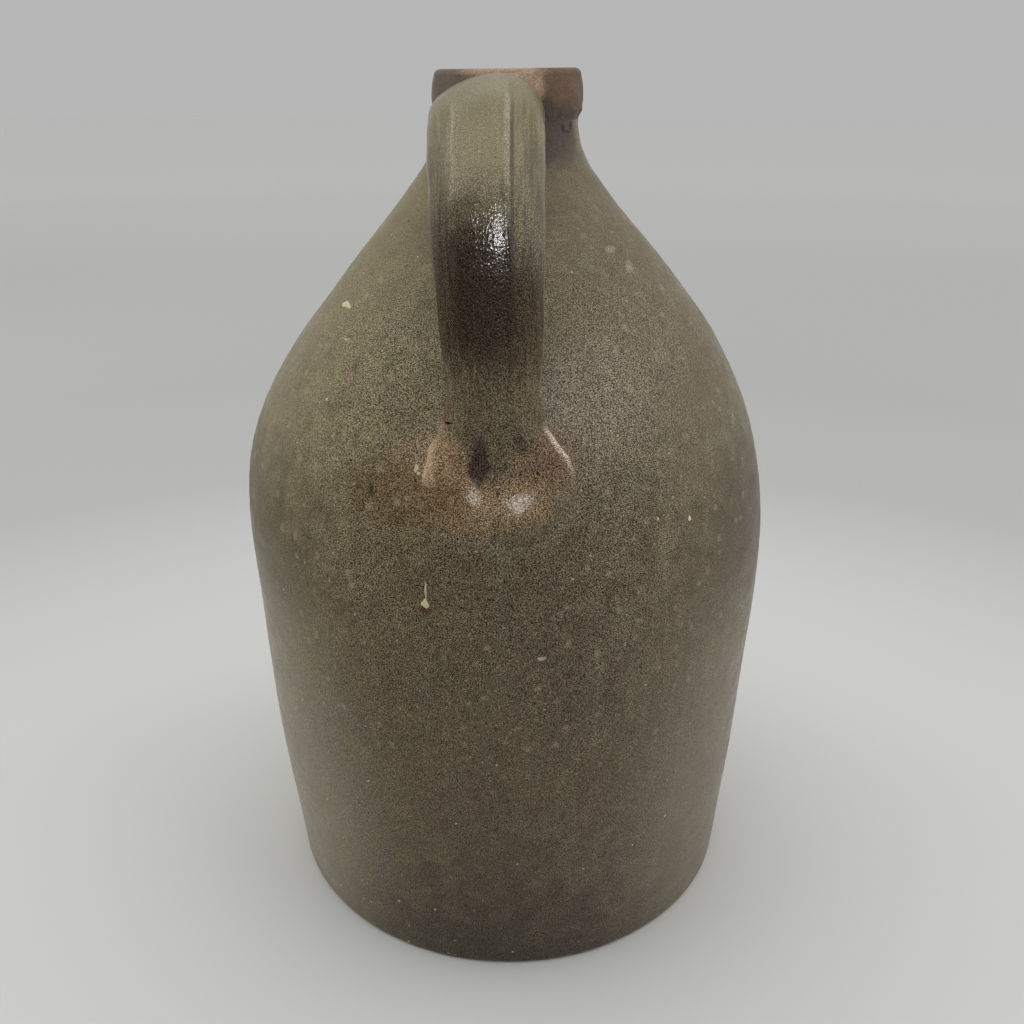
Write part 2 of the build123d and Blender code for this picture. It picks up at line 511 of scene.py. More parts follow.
def fired(material, spot, colour, height, depth, rough, gloss=glazeSkin["gloss"]):
    # finishes a glaze: its colour, the height of its skin, how rough and how glossy it is
    shader = material.node_tree.nodes["Principled BSDF"].inputs
    plug(colour, shader["Base Color"])
    inputs = {"Height": height, "Distance": depth * mm, "Strength": 1.0}
    plug(addNode(spot.tree, "ShaderNodeBump", inputs), shader["Normal"])
    patches = noiseOf(spot, glazeSkin["patchSize"], 3.0, 0.6, 3.0)
    plug(remap(patches, 0.3, 0.7, 0.8, 1.25) * rough, shader["Roughness"])
    plug(gloss, shader["Specular IOR Level"])
    return material


# body, thrown in two sections

bodyLook = {
    "olive": (0.244, 0.206, 0.106),
    "brown": (0.190, 0.155, 0.101),
    "cloud": (0.100, 0.078, 0.053),
    "run": (0.232, 0.207, 0.132),
    "pale": (0.36, 0.31, 0.20),
    "pin": (0.03, 0.021, 0.015),
    "clay": (0.43, 0.34, 0.22),
    "patchSize": 70.0,  # of olive and brown
    "mottleSize": 11.0,
    "runSize": 6.0,
    "roundSpacing": 8.0,  # soft pale rounds
    "pinSpacing": 6.5,
    "contrast": 1.4,
    "peelSize": 0.32,
    "peelDepth": 0.08,
    "rough": 0.32,
    "gloss": 0.20,
    # large stains, with painted shade and painted sheen among them: middle, reach, softness, colour, amount
    "stainsAndPaintedLight": (
        # darker brown glaze over the front of the belly, and painted shade there
        ((-17, -118, 132), (82, 90, 120), 0.6, (0.092, 0.054, 0.038), 0.50),
        # painted shade on the front of the foot, near the floor
        ((0, -118, 0), (80, 110, 55), 0.9, (0.043, 0.037, 0.030), 0.76),
        # these two: painted shade at the left and right sides of the belly
        ((-115, -40, 203), (40, 80, 40), 0.6, (0.084, 0.069, 0.024), 0.85),
        ((118, -40, 203), (38, 80, 38), 0.6, (0.090, 0.072, 0.048), 0.72),
        # these two: painted sheen, pale low on the left and right sides
        ((-106, -66, 75), (48, 66, 95), 0.6, (0.285, 0.258, 0.215), 0.62),
        ((106, -60, 75), (46, 66, 95), 0.6, (0.235, 0.209, 0.175), 0.47),
        # painted sheen on the shoulder right of the strap
        ((39, -91, 277), (22, 26, 24), 0.6, (0.270, 0.220, 0.160), 0.48),
        ((-8, -117, 250), (31, 32, 18), 0.4, (0.350, 0.245, 0.142), 0.85),
        ((-36, -112, 243), (24, 24, 13), 0.4, (0.145, 0.095, 0.039), 0.70),
        ((23, -113, 262), (11, 16, 12), 0.4, (0.180, 0.118, 0.077), 0.80),
        # darker glaze and painted shade on the neck beside the strap, under the lip
        ((18, -26, 368), (17, 20, 13), 0.4, (0.080, 0.059, 0.051), 0.9),
    ),
    # small marks: middle, reach, colour, amount
    "marks": (
        ((-61.0, -77.5, 278.4), (1.9, 3.0, 4.2), (0.32, 0.18, 0.12), 0.5),
        ((-48.7, -106.7, 242.1), (1.0, 3.0, 2.4), (0.045, 0.020, 0.012), 0.8),
        ((24.0, -43.0, 338.2), (7.0, 7.0, 0.3), (0.30, 0.26, 0.20), 0.4),
        ((22.0, -51.5, 330.2), (5.5, 5.5, 0.3), (0.34, 0.30, 0.25), 0.4),
        ((24.2, -19.5, 371.2), (0.8, 1.6, 1.7), (0.014, 0.010, 0.009), 0.9),
        ((27.4, -14.2, 371.9), (0.7, 1.9, 1.8), (0.014, 0.010, 0.009), 0.9),
        ((25.6, -17.0, 369.6), (1.8, 2.4, 0.6), (0.014, 0.010, 0.009), 0.7),
        # painted shadow, reddish, under the drip's bead
        ((-26.9, -123.0, 198.2), (2.3, 6.0, 1.5), (0.105, 0.036, 0.014), 0.75),
        ((-64.9, -61.6, 290.8), (3.6, 4.0, 0.45), (0.40, 0.37, 0.29), 0.6),
        ((-63.0, -61.8, 292.2), (2.6, 4.0, 0.35), (0.060, 0.045, 0.028), 0.5),
        ((-58.3, -75.5, 283.3), (1.9, 3.0, 1.8), (0.075, 0.058, 0.045), 0.45),
        ((44.6, -41.3, 325.2), (2.6, 4.0, 1.4), (0.40, 0.35, 0.25), 0.5),
        ((52.8, -41.0, 317.9), (1.6, 4.0, 2.6), (0.40, 0.35, 0.25), 0.5),
    ),
}


def stoneware(spot):
    # tone of the salt-glazed clay at a spot of the jug, how strongly it is speckled, and its mottle
    look = bodyLook
    x, _, z = separate(spot)
    patches = noiseOf(spot, look["patchSize"], 3.0, 0.55, 1.0)
    mottle = noiseOf(spot, look["mottleSize"], 4.0, 0.6, 2.0)
    tone = mixColour(remap(patches * 150.0 + x, 10.0, 130.0), look["olive"], look["brown"])
    tone = mixColour(remap(mottle, 0.30, 0.75, 0.35, 0.0), tone, look["cloud"])
    runs = remap(noiseOf(drawnOut(spot, 0.10), look["runSize"], 2.0, 0.5, 4.0), 0.48, 0.70)
    tone = over(tone, runs, look["run"], 0.45)
    stray = mottle * 1.1 - 0.55
    # real stains, and painted shade on the front, sides and foot, and painted sheen low on the sides and
    # beside the strap
    for centre, reach, soft, paint, amount in look["stainsAndPaintedLight"]:
        tone = over(tone, blotch(spot, centre, reach, stray, soft), paint, amount)
    # speckled most on the shoulder, less at the sides and under the lip
    level = patches * 60.0 + z
    low = remap(level, 120.0, 230.0, 1.0, 1.35) * remap(abs(x), 40.0, 95.0, 1.0, 0.5)
    high = remap(level, 375.0, 300.0, 0.3 * look["contrast"], look["contrast"])
    return tone, low * high, mottle


def bodyGlazeMaterial():
    look = bodyLook
    material, spot = newGlaze("bodyGlaze")
    speck, height = peel(spot, look["peelSize"])
    tone, contrast, mottle = stoneware(spot)
    z = separate(spot)[2]
    # soft pale rounds where the salt ran thin
    waver = addNode(spot.tree, "ShaderNodeTexNoise", {"Vector": spot, "Scale": 1 / 2.5}, "Color")
    away, draw = cells(vectorCalc("ADD", spot, scaled(waver, 3.0)), look["roundSpacing"])
    crowd = remap(noiseOf(spot, 45.0, 2.0, 0.5, 6.0), 0.36, 0.52, 0.45, 1.0)
    pale = remap(away, 0.30, 0.02) * remap(separate(draw)[0], 0.10, 0.45) * crowd
    pale = pale * window(z, 60.0, 170.0, 325.0, 350.0)
    tone = over(tone, pale, look["pale"], 0.75)
    for centre, reach, paint, amount in look["marks"]:
        tone = over(tone, blotch(spot, centre, reach), paint, amount)
    # pin holes
    away, draw = cells(spot, look["pinSpacing"])
    pin = remap(away, 0.085, 0.04) * remap(separate(draw)[1], 0.62, 0.7)
    tone = over(tone, pin, look["pin"], 0.8)
    # bare clay under the foot, and where the foot's edge is worn
    tone = over(tone, remap(mottle * 3.0 + z, 2.4, 1.4), look["clay"])
    tone = speckled(tone, speck, contrast * (pale * -0.6 + 1.0))
    height = pin * -2.5 + height
    return fired(material, spot, tone, height, look["peelDepth"], look["rough"], look["gloss"])


bodyGlaze = bodyGlazeMaterial()
outsideLow = lowerWall(0, 0, jug["footRound"], throwing["stepOutside"])
outsideUp = upperWall(0, jug["neckRadius"], jug["neckArc"], throwing["stepOutside"])
insideLow, insideUp = innerWall(0, throwing["stepInside"], throwing["stepInside"])

profile = np.vstack([outsideLow, insideLow[::-1]])
showing = np.concatenate([outsideLow[:, 1] > 0.01, np.zeros(len(insideLow))])
lowerBody = thrownPiece("lowerBody", profile, showing, bodyGlaze)

profile = np.vstack([outsideUp, insideUp[::-1], outsideUp[:1]])
showing = np.concatenate([np.ones(len(outsideUp)), np.zeros(len(insideUp)), [1]])
shoulderCap = thrownPiece("shoulderCap", profile, showing, bodyGlaze)
print("body thrown:", len(lowerBody.data.polygons), len(shoulderCap.data.polygons))


# lip ring

lipForm = {
    "radius": 32.75,
    "topRadius": 31.75,
    "footRadius": 31.9,
    "undercut": 2.5,
    "ragReach": 2.5,  # how far from the undercut its edge is ragged
    "rimRound": 3.0,
    "steps": {"under": 0.4, "swell": 0.5, "curl": 0.35, "top": 0.8, "bore": 1.5, "seat": 4.0},
    "throwing": {
        "columns": 300,
        "unevenness": 0.35,
        "lumpSize": 22.0,
        "ringDepth": 0.05,
        "ringPitch": 5.0,
        "ragDepth": 6.0,
        "rimSlant": 0.012,
    },
}
lipLook = {
    "warm": (0.160, 0.081, 0.032),
    "grey": (0.128, 0.106, 0.070),
    "red": (0.110, 0.056, 0.032),
    "dark": (0.055, 0.036, 0.024),
    "pink": (0.42, 0.295, 0.20),
    "underside": (0.062, 0.050, 0.042),
    "inside": (0.07, 0.038, 0.022),
    "mottleSize": 7.0,
    "contrast": 0.3,
    "peelSize": 0.7,
    "peelDepth": 0.13,
    "rough": 0.45,
    # blotches: middle, reach, colour, amount
    "blotches": (
        ((-24, -22, 390), (9, 16, 6), "red", 0.6),
        ((10.5, -30, 387.0), (5.5, 12, 6.5), "pink", 0.95),
        ((-2, -30, 392.5), (17, 12, 2.4), "pink", 0.75),
        # darker glaze and painted shade at the foot of the lip beside the strap
        ((15, -29, 378), (5, 10, 5), "dark", 0.8),
    ),
}


def lipGlazeMaterial():
    look = lipLook
    material, spot = newGlaze("lipGlaze")
    x, y, z = separate(spot)
    speck, height = peel(spot, look["peelSize"])
    mottle = noiseOf(spot, look["mottleSize"], 4.0, 0.6, 2.0)
    stray = mottle - 0.5
    tone = mixColour(remap(mottle * 16.0 + x, -14.0, 14.0), look["grey"], look["warm"])
    tone = mixColour(remap(mottle, 0.35, 0.7, 0.5, 0.0), tone, look["dark"])
    for centre, reach, colour, amount in look["blotches"]:
        tone = over(tone, blotch(spot, centre, reach, stray), look[colour], amount)
    tone = over(tone, remap(mottle * 6.0 + z, 386.0, 378.0), look["underside"], 0.75)
    tone = over(tone, remap(x * x + y * y, 480.0, 380.0), look["inside"], 0.85)
    tone = speckled(tone, speck, look["contrast"])
    return fired(material, spot, tone, height + mottle, look["peelDepth"], look["rough"])


def throughPoints(first, middle, last, step):
    # arc through three points, first to last
    a, b, c = (complex(*point) for point in (first, middle, last))
    share = (c - a) / (b - a)
    centre = a + (b - a) * (share - abs(share) ** 2) / (2j * share.imag)
    start, end = np.angle([a - centre, c - centre], deg=True)
    return arcPoints((centre.real, centre.imag), abs(a - centre), start, end, step)


def lipProfile():
    lip = lipForm
    step = lip["steps"]
    seam, rim, curl = jug["lipSeam"], jug["rimHeight"], lip["rimRound"]
    foot = seam + lip["undercut"]
    middle = (lip["radius"], (foot + rim) / 2)
    swell = throughPoints((lip["footRadius"], foot), middle, (lip["topRadius"], rim - curl), step["swell"])
    under = linePoints((jug["neckRadius"], seam), swell[0], step["under"])
    outerCurl = arcPoints((lip["topRadius"] - curl, rim - curl), curl, 0, 90, step["curl"])
    innerCurl = arcPoints((jug["mouthRadius"] + curl, rim - curl), curl, 90, 180, step["curl"])
    top = linePoints(outerCurl[-1], innerCurl[0], step["top"])
    bore = linePoints(innerCurl[-1], (jug["mouthRadius"], seam), step["bore"])
    seat = linePoints(bore[-1], under[0], step["seat"])
    points = joinLines(under, swell, outerCurl, top, innerCurl, bore, seat)
    radius, height = points.T
    ragged = np.clip(1 - np.abs(height - foot) / lip["ragReach"], 0, 1) * (radius > jug["neckRadius"])
    return points, (height > seam + 0.01).astype(float), ragged


profile, showing, ragged = lipProfile()
lipGlaze = lipGlazeMaterial()
lipRing = thrownPiece("lipRing", profile, showing, lipGlaze, ragged, **lipForm["throwing"])
print("lip thrown:", len(lipRing.data.polygons))


# slip lining: a thin coat over the inside

slipForm = {"columns": 180, "stepLow": 5.0, "stepHigh": 3.0}
slipLook = {
    "light": (0.085, 0.043, 0.022),
    "dark": (0.03, 0.015, 0.009),
    "runSize": 9.0,
    "runDepth": 0.3,
    "rough": 0.3,
}


def slipMaterial():
    look = slipLook
    material, spot = newGlaze("brownSlip")
    runs = noiseOf(drawnOut(spot, 0.25), look["runSize"], 3.0, 0.6)
    tone = mixColour(remap(runs, 0.3, 0.7), look["dark"], look["light"])
    return fired(material, spot, tone, runs, look["runDepth"], look["rough"])


brownSlip = slipMaterial()
coatOuter, coatInner = (
    joinLines(*innerWall(coat, slipForm["stepLow"], slipForm["stepHigh"])) for coat in (0, jug["slip"])
)
profile = np.vstack([coatOuter, coatInner[::-1]])
showing = np.zeros(len(profile))
slipLining = thrownPiece("slipLining", profile, showing, brownSlip, columns=slipForm["columns"])
print("lining poured:", len(slipLining.data.polygons))


# strap handle

strapForm = {
    "width": 42.0,
    "crown": 16.0,
    "belly": 2.0,
    "crestDrop": 1.5,
    "bendRadius": 58.0,
    "lean": 12.0,
    "rootOver": 8.4,  # its root is set over to the left
    "tipOver": 2.2,  # and its tip to the right
    "landingRise": 92.0,
    "landingGap": 6.0,
    "tongueRise": 46.0,
    "tongueSink": 1.5,
    "smear": 15.0,  # the tongue is smeared out past its tip
    "rootRadius": 28.0,  # where its root is buried in the lip
    "rootTuck": 14.0,  # how far from there it follows the round of the lip
    "lineStep": 0.5,
    "steps": 250,
    "columns": 97,
    "sharpAngle": 60,
    "skew": 0.20,  # its top falls away to the left
    # places across it, from -1 at its left edge to 1 at its right
    "leftFurrow": -0.69,
    "leftRidge": -0.55,
    "rightRidge": 0.385,
    "rightStep": 0.455,
    # share of its length, width and crown as shares of its own, depth of the furrows, wrap round the jug
    "stations": (
        (0.00, 1.10, 0.97, 0.0, 0.0),
        (0.17, 1.10, 1.00, 0.1, 0.0),
        (0.26, 1.09, 1.00, 0.4, 0.0),
        (0.35, 1.06, 0.99, 1.0, 0.0),
        (0.45, 1.03, 0.96, 1.0, 0.0),
        (0.56, 0.99, 0.92, 1.0, 0.0),
        (0.68, 0.93, 0.86, 0.9, 0.0),
        (0.79, 0.89, 0.80, 0.6, 0.3),
        (0.86, 1.12, 0.75, 0.3, 0.8),
        (0.93, 1.49, 0.60, 0.0, 1.0),
        (0.97, 1.46, 0.44, 0.0, 1.0),
        (1.01, 1.20, 0.25, 0.0, 1.0),
        (1.04, 0.90, 0.15, 0.0, 1.0),
        (1.07, 0.45, 0.08, 0.0, 1.0),
    ),
    # finger dents at its foot: share, place across, reach along, reach across, depth
    "dents": (
        (0.908, -0.23, 0.050, 0.15, 3.2),
        (0.864, 0.41, 0.022, 0.12, 0.9),
        (0.940, 0.26, 0.038, 0.24, 1.6),
        (0.945, -0.75, 0.030, 0.14, 0.8),
        (1.003, 0.34, 0.036, 0.32, -2.5),
        (0.984, -0.33, 0.022, 0.16, -1.3),
    ),
    "crack": (0.827, -0.84, 0.0020, 0.075, 1.8),  # an open one, in the same columns
    # corners of the flare: side, share, reach along, swell
    "corners": (
        (1, 0.885, 0.020, 1.0),
        (1, 0.832, 0.020, -1.6),
        (-1, 0.872, 0.014, 1.5),
        (-1, 0.902, 0.012, -0.6),
    ),
}
strapLook = {
    "crest": (0.197, 0.170, 0.090),
    # upper: painted light, lighter than the crest where the strap turns to the front
    "upper": (0.292, 0.256, 0.168),
    "side": (0.172, 0.147, 0.096),
    # dark and flank: painted shade and a painted reflection of the dark room; flank also paints the
    # furrow's shade
    "dark": (0.056, 0.038, 0.027),
    "flank": (0.090, 0.068, 0.045),
    "low": (0.156, 0.125, 0.083),
    "press": (0.070, 0.045, 0.039),
    "red": (0.17, 0.08, 0.055),
    "crack": (0.008, 0.006, 0.005),
    # edge: thin glaze and a painted highlight; the next two are painted highlights
    "edge": (0.55, 0.44, 0.30),
    "paintedGlint": (0.62, 0.55, 0.45),
    "ridge": (0.43, 0.39, 0.30),
    "mottleSize": 8.0,
    "peelSize": 0.8,
    "peelDepth": 0.13,
    "rough": 0.15,
    "gloss": 0.28,
    # finger presses that fired dark: share and place across, reach along and across, amount
    "presses": (((0.899, -0.22), (0.042, 0.13), 0.9), ((0.862, 0.41), (0.018, 0.10), 0.6)),
    "redSpot": ((0.805, -0.96), (0.02, 0.08)),
}


def strapGlazeMaterial():
    look = strapLook
    material, spot = newGlaze("strapGlaze")
    along, across, proud = (attribute(spot.tree, name) for name in ("along", "across", "proud"))
    place = combine(along, across, 0.0)
    beside = abs(across)
    speck = peel(spot, bodyLook["peelSize"])[0]
    height = peel(spot, look["peelSize"])[1]
    stray = noiseOf(spot, look["mottleSize"], 4.0, 0.6, 2.0) * 0.9 - 0.45
    reached = stray * 0.10 + along
    nearby = stray * 3.0 + proud

    def oval(centre, reach, *edge):
        # blotch in the strap's own share along and place across
        return blotch(place, (*centre, 0), (*reach, 1), *edge)

    def footRidge(low, edge, side, opening):
        # where the foot's skin lies close to the shoulder or to the strap's edge, on one side of it
        thin = calc("MAXIMUM", remap(nearby, *low), remap(across, *edge))
        return thin * window(along, *opening) * remap(across, *side)

    # painted shade and a painted reflection of the dark room on the front of the strap, less dark on its
    # flanks
    right = remap(stray * 0.12 + across, 0.42, 0.56)
    beyond = calc("MAXIMUM", right, remap(across, -0.55, -0.75, 0.0, 0.6))
    shadedFront = mixColour(beyond, look["dark"], look["flank"])
    # painted light: below the crest the strap is painted lighter where it turns towards the front
    upper = mixColour(remap(beside, 0.40, 0.80), look["upper"], look["side"])
    tone = mixColour(remap(along, 0.30, 0.40), look["crest"], upper)
    # painted highlights on the ridges, with a line of painted shade in the furrow beside the right one
    ridgeHighlights = calc("MAXIMUM", band(across, strapForm["rightRidge"], 0.08), band(across, -0.53, 0.14) * 0.4)
    ridgeHighlights = ridgeHighlights * window(along, 0.25, 0.31, 0.44, 0.54) * (speck * 0.95 + 0.05)
    tone = over(tone, ridgeHighlights, look["ridge"], 0.85)
    furrow = band(across, 0.46, 0.055) * window(along, 0.26, 0.36, 0.5, 0.7)
    tone = over(tone, furrow, look["flank"], 0.85)
    # the painted shade goes over the front
    tone = mixColour(remap(right * -0.06 + reached, 0.41, 0.535), tone, shadedFront)
    # lower down, where the strap turns out to the shoulder, the painted shade gives way to a paler tone
    tone = mixColour(remap(reached, 0.66, 0.79), tone, look["low"])
    # streaks along it where wet hands pulled it, plainest on its flanks
    streak = noiseOf(combine(across * 16.0, along * 14.0, 0.0), 1.0, 2.0, 0.6)
    plain = remap(beside, 0.35, 0.60, 0.3, 1.0) * remap(along, 0.22, 0.34)
    tone = scaled(tone, remap(streak, 0.3, 0.7, -0.28, 0.28, "LINEAR") * plain + 1.0)
    # its foot takes the colour of the jug round it
    tone = mixColour(remap(beside * 0.12 + reached, 0.90, 0.98), tone, stoneware(spot)[0])
    for centre, reach, amount in look["presses"]:
        tone = over(tone, oval(centre, reach, stray, 0.3), look["press"], amount)
    tone = over(tone, oval(*look["redSpot"], stray), look["red"], 0.7)
    crack, crackPlace, crackLong, crackWide, _ = strapForm["crack"]
    tone = over(tone, oval((crack, crackPlace), (1.1 * crackLong, crackWide)), look["crack"], 0.95)
    # glaze drawn thin and a painted highlight make the edges pale, most on the two ridges of the foot
    tone = over(tone, remap(beside, 0.985, 0.999), look["edge"], 0.4)
    # the left ridge of the foot: thin cream glaze and a painted highlight on its lit edge
    cream = footRidge((3.6, 1.8), (-0.84, -0.94), (-0.5, -0.7), (0.815, 0.83, 0.925, 0.95))
    cream = cream * remap(along, 0.845, 0.885, 0.15, 0.75)
    tone = over(tone, cream, look["edge"])
    # the right ridge of the foot: a painted highlight, sparkling with the speckle
    brimHighlight = footRidge((2.6, 1.2), (0.87, 0.96), (0.5, 0.7), (0.825, 0.845, 0.87, 0.93))
    tone = over(tone, brimHighlight * (speck * 0.8 + 0.2), look["paintedGlint"], 0.9)
    contrast = remap(along, 0.40, 0.54, 0.5, 1.3) + remap(along, 0.80, 0.90, 0.0, 0.4)
    tone = speckled(tone, speck, contrast * (cream * -0.6 + 1.0))
    # the dark front is glossy, the rest of the way down is duller
    dull = remap(along, 0.53, 0.60) * remap(along, 0.91, 0.95, 1.0, 0.3)
    rough = dull * 0.12 + look["rough"] + remap(along, 0.92, 0.97, 0.0, 0.12)
    left = remap(across, -0.40, -0.62) * remap(along, 0.38, 0.47)
    gloss = (dull * -0.24 + look["gloss"]) * (left * -0.6 + 1.0)
    return fired(material, spot, tone, streak * 0.5 + height, look["peelDepth"], rough, gloss)


def strapLine():
    # out from the lip, round the bend, down to the shoulder and along it: distance from the axis, height
    strap = strapForm
    step = strap["lineStep"]
    lean = math.radians(strap["lean"])
    landing = shoulderSurface(0, 0, strap["landingRise"], strap["landingGap"])[1:] * (-1, 1)
    tip = shoulderSurface(0, 0, strap["tongueRise"], -strap["tongueSink"])[1:] * (-1, 1)
    crest = jug["rimHeight"] - strap["crestDrop"] - strap["crown"]
    corner = landing[0] - (crest - landing[1]) * math.tan(lean)
    bendStart = corner - strap["bendRadius"] * math.tan((math.pi / 2 - lean) / 2)
    bend = arcPoints((bendStart, crest - strap["bendRadius"]), strap["bendRadius"], 90, strap["lean"], step)
    normal = np.array([math.cos(lean), math.sin(lean)])
    chord = tip - landing
    turn = chord @ chord / (2 * chord @ normal)
    centre = landing + turn * normal
    start, end = (math.degrees(math.atan2(*(point - centre)[::-1])) % 360 for point in (landing, tip))
    made = joinLines(
        linePoints((0, crest), (bendStart, crest), step),
        bend,
        linePoints(bend[-1], landing, step),
        arcPoints(centre, turn, start, end, step),
    )
    slope = math.degrees(math.asin(strap["tongueRise"] / shoulderArc))
    past = slope - math.degrees(strap["smear"] / shoulderArc)
    reach = shoulderArc - strap["tongueSink"]
    smear = arcPoints((shoulderMiddle, seamHeight), reach, slope, past, step)
    return joinLines(made, smear), gaps(made).sum()


def hump(x, centre, width):
    return np.exp(-(((x - centre) / width) ** 2))


def strapMesh():
    strap = strapForm
    line, length = strapLine()
    lengths = np.concatenate([[0], np.cumsum(gaps(line))])
    shares = np.linspace(strap["rootRadius"], lengths[-1], strap["steps"]) / length
    # more rows where the crack is
    crack, _, crackLong, _, _ = strap["crack"]
    shares = np.unique(np.concatenate([shares, crack + crackLong * np.linspace(-2.2, 2.2, 15)]))
    at = shares * length

    def along(distance):
        return np.column_stack([np.interp(distance, lengths, line[:, k]) for k in (0, 1)])

    place = along(at)
    tangent = along(at + 2.0) - along(at - 2.0)
    tangent /= np.linalg.norm(tangent, axis=1)[:, None]
    outward = np.column_stack([-tangent[:, 1], tangent[:, 0]])
    # rows run along the strap, columns across it
    width, crown, furrow, wrap = smoothTable(strap["stations"], shares).T[:, :, None]
    share = shares[:, None]
    part = np.sin(np.linspace(-math.pi / 2, math.pi / 2, strap["columns"]))[None, :]
    fade = np.clip((0.75 - share) / 0.50, 0, 1)
    leaning = part - strap["skew"] * fade * (1 - part**2)
    lift = crown * strap["crown"] * np.sqrt(np.clip(1 - leaning**2, 0, 1))
    # two furrows with a ridge beside each, left by the fingers that pulled it
    drift = 0.08 * (share - 0.5) + 0.015 * np.sin(23 * share + 1) + 0.008 * np.sin(61 * share)
    step = np.clip((1 - part) / 0.55, 0, 1) / (1 + np.exp((strap["rightStep"] + drift - part) / 0.02))
    lift = lift - furrow * (0.8 * step + 0.35 * hump(part, strap["leftFurrow"] + drift, 0.14))
    lift = lift + 0.45 * furrow * hump(part, strap["rightRidge"] + drift, 0.05)
    lift = lift + 0.27 * furrow * hump(part, strap["leftRidge"] + drift, 0.09)
    lift = lift - 0.5 * furrow * hump(part, -0.08, 0.3)
    for dent, dentPlace, dentLong, dentWide, dentDepth in (*strap["dents"], strap["crack"]):
        lift = lift - dentDepth * hump(share, dent, dentLong) * hump(part, dentPlace, dentWide)
    # hands leave nothing quite even
    lift = lift + 0.22 * np.sin(31 * share + 2.0 * part) * np.sin(3.1 * part + 8 * share)
    x = width * strap["width"] / 2 * part
    x = x + (0.12 * np.sin(38 * share + 1.0) + 0.08 * np.sin(71 * share)) * part**3
    for side, corner, cornerLong, swell in strap["corners"]:
        x = x + side * swell * hump(share, corner, cornerLong) * np.clip(side * part, 0, 1) ** 2
    x = x + strap["tipOver"] * share - strap["rootOver"] * (1 - share)
    # the foot bows round the jug
    curve = wrap / (2 * place[:, :1]) * x**2
    sag = -strap["belly"] * np.sqrt(np.clip(1 - part**2, 0, 1))
    upper = np.stack([x, lift - curve], axis=-1)
    lower = np.stack([x, sag - curve], axis=-1)
    sideways, off = np.moveaxis(np.concatenate([upper, lower[:, -2:0:-1]], axis=1), -1, 0)
    out = place[:, :1] + off * outward[:, :1]
    up = place[:, 1:] + off * outward[:, 1:]
    # the root follows the round of the lip
    root = strap["rootRadius"]
    buried = np.clip(1 - (at - root) / strap["rootTuck"], 0, 1)[:, None] ** 2
    tuck = root - np.sqrt(np.clip(root**2 - sideways**2, 0, None))
    points = np.stack([sideways, -(out - buried * tuck), up], axis=-1)
    parts = np.concatenate([part[0], part[0, -2:0:-1]])
    # height over the skin of the shoulder
    radius = np.hypot(points[..., 0], points[..., 1])
    proud = np.hypot(radius - shoulderMiddle, points[..., 2] - seamHeight) - shoulderArc
    return points, shares, parts, proud


strapGlaze = strapGlazeMaterial()
points, shares, parts, proud = strapMesh()
rows, around = points.shape[:2]
faces = ringFaces(rows, around)
faces += [face[::-1] for face in endFaces(0, strapForm["columns"], around)]
faces += endFaces((rows - 1) * around, strapForm["columns"], around)
strapHandle = newObject("strapHandle", points.reshape(-1, 3) * mm, faces)
setField(strapHandle, "along", np.repeat(shares[:, None], around, axis=1))
setField(strapHandle, "across", np.repeat(parts[None, :], rows, axis=0))
setField(strapHandle, "proud", proud)
dress(strapHandle, strapGlaze, strapForm["sharpAngle"])
print("strap pulled:", len(strapHandle.data.polygons))


# wad under the strap's lower end

wadForm = {
    "rise": 48.0,
    "aside": 2.2,
    "reachAcross": 31.0,  # from its middle to its edge
    "reachDown": 24.0,
    "height": 2.6,
    "sink": 0.8,  # its thin edge, under the surface
    "bury": 4.0,  # its back, under the surface
    "rings": 30,
    "spokes": 120,
    "sharpAngle": 50,
    "rough": 0.25,
}


def footGlazeMaterial():
    look = bodyLook
    material, spot = newGlaze("footGlaze")
    speck, height = peel(spot, look["peelSize"])
    tone, contrast, _ = stoneware(spot)
    tone = speckled(tone, speck, contrast)
    return fired(material, spot, tone, height, look["peelDepth"], wadForm["rough"])


def wadMesh():
    # the middle of its front, rings out over the front and in over the back, the middle of its back
    wad = wadForm
    angles = np.linspace(0, math.tau, wad["spokes"], endpoint=False)[None, :]
    q = np.linspace(0, 1, wad["rings"])[:, None]
    edge = 1 + 0.05 * np.sin(3 * angles + 1) + 0.04 * np.sin(5 * angles) + 0.02 * np.sin(11 * angles)
    x = wad["aside"] + wad["reachAcross"] * q * edge * np.cos(angles)
    down = wad["reachDown"] * q * edge * np.sin(angles)
    uneven = np.where(q > 0, 1 + 0.08 * np.sin(4 * angles + 2), 1)
    lift = wad["height"] * (1 - q**2) ** 1.3 * uneven - wad["sink"]
    front = shoulderSurface(x, down, wad["rise"], lift)
    back = shoulderSurface(x, down, wad["rise"], np.full(x.shape, -wad["bury"]))
    rings = np.concatenate([front[1:], back[:0:-1]])
    points = np.vstack([front[0, :1], rings.reshape(-1, 3), back[0, :1]])
    return points, lumpFaces(*rings.shape[:2])


points, faces = wadMesh()
handleFootWad = newObject("handleFootWad", points * mm, faces)
dress(handleFootWad, footGlazeMaterial(), wadForm["sharpAngle"])
print("wad pressed:", len(handleFootWad.data.polygons))


# what the kiln left on the glaze: grit all over, and a few larger chips and a drip

